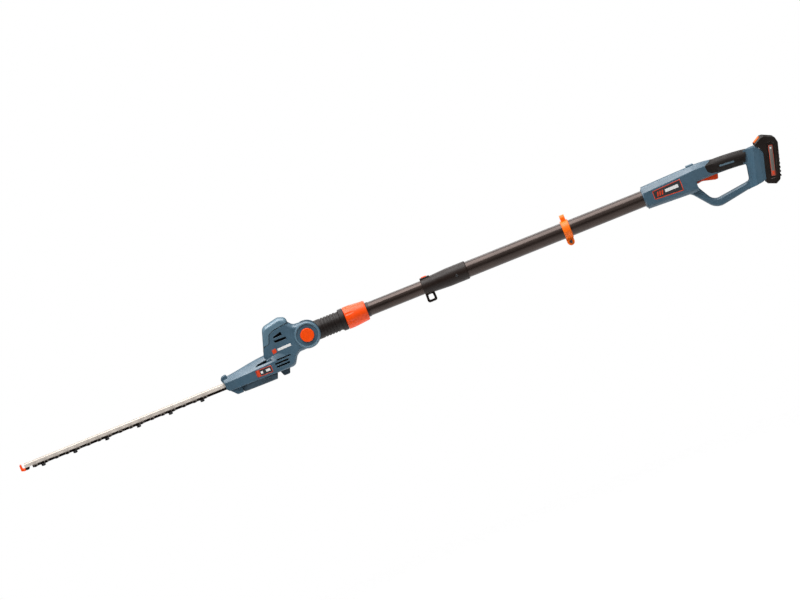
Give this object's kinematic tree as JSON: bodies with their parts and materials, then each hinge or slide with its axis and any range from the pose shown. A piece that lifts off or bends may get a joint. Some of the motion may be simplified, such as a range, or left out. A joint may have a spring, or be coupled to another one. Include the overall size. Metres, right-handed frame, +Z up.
{
  "type": "cordless pole hedge trimmer",
  "caption": "Cordless pole hedge trimmer: telescopic two-part pole, tilting motor head with a double-sided reciprocating blade, D-shaped rear handle with trigger, and a sliding battery pack.",
  "frame": {"origin": "middle of the rear hand grip, on the axis of the pole", "axes": "+X along the pole from the cutting head towards the battery, +Z up with the trigger below, +Y to the left of someone looking along +X"},
  "size_m": [1.7684, 0.076, 0.1315],
  "materials": {
    "tube_brown": "satin anodised, dark bronze",
    "blue_plastic": "fine moulded grain, slate blue",
    "blue_light_plastic": "fine moulded grain, lighter slate blue",
    "black_plastic": "moulded, glass-filled black",
    "orange_plastic": "smooth moulded orange",
    "red_plastic": "smooth moulded red-orange",
    "soft_rubber": "overmoulded soft grip, black",
    "inlay_rubber": "blue-grey inlay",
    "badge": "plain badge with a coloured border",
    "blade_steel": "ground and blackened edge steel",
    "bar_metal": "extruded, satin",
    "steel": "machined",
    "gear_steel": "hobbed and oiled",
    "cast_alloy": "die-cast",
    "bronze": "sintered bearing bronze",
    "contact_brass": "plated spring contacts",
    "lead_rubber": "flexible lead sheath",
    "board_green": "circuit board with potted parts",
    "cell_wrap": "shrink-wrapped cells"
  },
  "bodies": {
    "pole_body": {"outer_tube": "tube_brown", "collar": "black_plastic", "collar_bush": "black_plastic", "collar_screws": "steel", "strap_eyelet": "black_plastic", "strap_ring": "orange_plastic", "strap_fastener": "steel", "supply_lead_coil": "lead_rubber", "telescope_button_spring": "steel", "handle_shell_near": "blue_plastic", "handle_shell_far": "blue_plastic", "soft_grip": "soft_rubber", "grip_inlays": "inlay_rubber", "handle_nameplates": "badge", "trigger_pin": "steel", "trigger_switch": "black_plastic", "control_board": "board_green", "handle_screws": "steel", "battery_dock": "black_plastic", "dock_contacts": "contact_brass"},
    "inner_pole": {"inner_tube": "tube_brown", "inner_tube_bush": "black_plastic", "ferrule": "black_plastic", "neck_knuckle": "black_plastic", "neck_sleeve": "black_plastic", "supply_lead_straight": "lead_rubber", "tilt_spring": "steel"},
    "lock_ring": {"lock_ring": "orange_plastic"},
    "head": {"head_shell_near": "blue_plastic", "head_shell_far": "blue_plastic", "head_nameplates": "badge", "head_screws": "steel", "motor_cap": "blue_light_plastic", "lower_gear_cover": "black_plastic", "rest_foot": "black_plastic", "motor": "steel", "gear_case": "cast_alloy", "crank_bearings": "bronze", "blade_bar": "bar_metal", "blade_fasteners": "steel", "tip_plate": "black_plastic", "tip_guard": "orange_plastic", "tilt_axle": "steel", "tilt_cap": "black_plastic"},
    "tilt_button": {"tilt_button": "orange_plastic", "tilt_lock_gear": "black_plastic"},
    "crank": {"crank_gear": "gear_steel", "crankshaft": "gear_steel"},
    "rotor": {"rotor": "gear_steel", "motor_pinion": "gear_steel"},
    "upper_blade": {"upper_blade": "blade_steel"},
    "lower_blade": {"lower_blade": "blade_steel"},
    "telescope_button": {"telescope_button": "orange_plastic"},
    "trigger": {"trigger": "red_plastic"},
    "lock_off_slider": {"lock_off_slider": "blue_plastic"},
    "battery": {"battery_case": "black_plastic", "battery_lid": "black_plastic", "battery_cells": "cell_wrap"},
    "battery_latch": {"battery_latch": "orange_plastic"}
  },
  "joints": [
    {"name": "pole_telescope", "type": "slide", "parent": "pole_body", "child": "inner_pole", "axis": [-1, 0, 0], "range_m": [-0.11, 0.28]},
    {"name": "lock_ring_turn", "type": "hinge", "parent": "inner_pole", "child": "lock_ring", "pos_m": [-0.862, 0, 0], "axis": [1, 0, 0], "range_deg": [0, 90]},
    {"name": "head_tilt", "type": "hinge", "parent": "inner_pole", "child": "head", "pos_m": [-0.9765, 0, 0], "axis": [0, 1, 0], "range_deg": [-60, 45]},
    {"name": "tilt_button_press", "type": "slide", "parent": "head", "child": "tilt_button", "axis": [0, 1, 0], "range_m": [0, 0.005], "stiffness_N_per_m": 1500, "springref_m": -0.004},
    {"name": "crank_spin", "type": "hinge", "parent": "head", "child": "crank", "pos_m": [-1.074, 0, 0], "axis": [0, 0, 1], "continuous": true},
    {"name": "rotor_spin", "type": "hinge", "parent": "head", "child": "rotor", "pos_m": [-1.038, 0, 0], "axis": [0, 0, 1], "continuous": true},
    {"name": "upper_blade_stroke", "type": "slide", "parent": "head", "child": "upper_blade", "axis": [1, 0, 0], "range_m": [-0.006, 0.006]},
    {"name": "lower_blade_stroke", "type": "slide", "parent": "head", "child": "lower_blade", "axis": [1, 0, 0], "range_m": [-0.006, 0.006]},
    {"name": "telescope_button_press", "type": "slide", "parent": "pole_body", "child": "telescope_button", "axis": [0, 0, -1], "range_m": [0, 0.0016], "stiffness_N_per_m": 1200, "springref_m": -0.002, "deforming": ["telescope_button_spring"]},
    {"name": "trigger_squeeze", "type": "hinge", "parent": "pole_body", "child": "trigger", "pos_m": [-0.0735, 0, -0.003], "axis": [0, -1, 0], "range_deg": [0, 9], "stiffness_Nm_per_rad": 1, "springref_deg": -11.46},
    {"name": "lock_off_slide", "type": "slide", "parent": "pole_body", "child": "lock_off_slider", "axis": [-1, 0, 0], "range_m": [0, 0.005], "stiffness_N_per_m": 800, "springref_m": -0.004},
    {"name": "battery_slide", "type": "slide", "parent": "pole_body", "child": "battery", "axis": [0.2588, 0, 0.9659], "range_m": [0, 0.085]},
    {"name": "battery_latch_press", "type": "slide", "parent": "battery", "child": "battery_latch", "axis": [0.5, 0, -0.866], "range_m": [0, 0.0025], "stiffness_N_per_m": 1500, "springref_m": -0.003}
  ],
  "couplings": [
    {"joint": "rotor_spin", "follows": "crank_spin", "ratio": -7},
    {"joint": "lower_blade_stroke", "follows": "upper_blade_stroke", "ratio": -1}
  ]
}
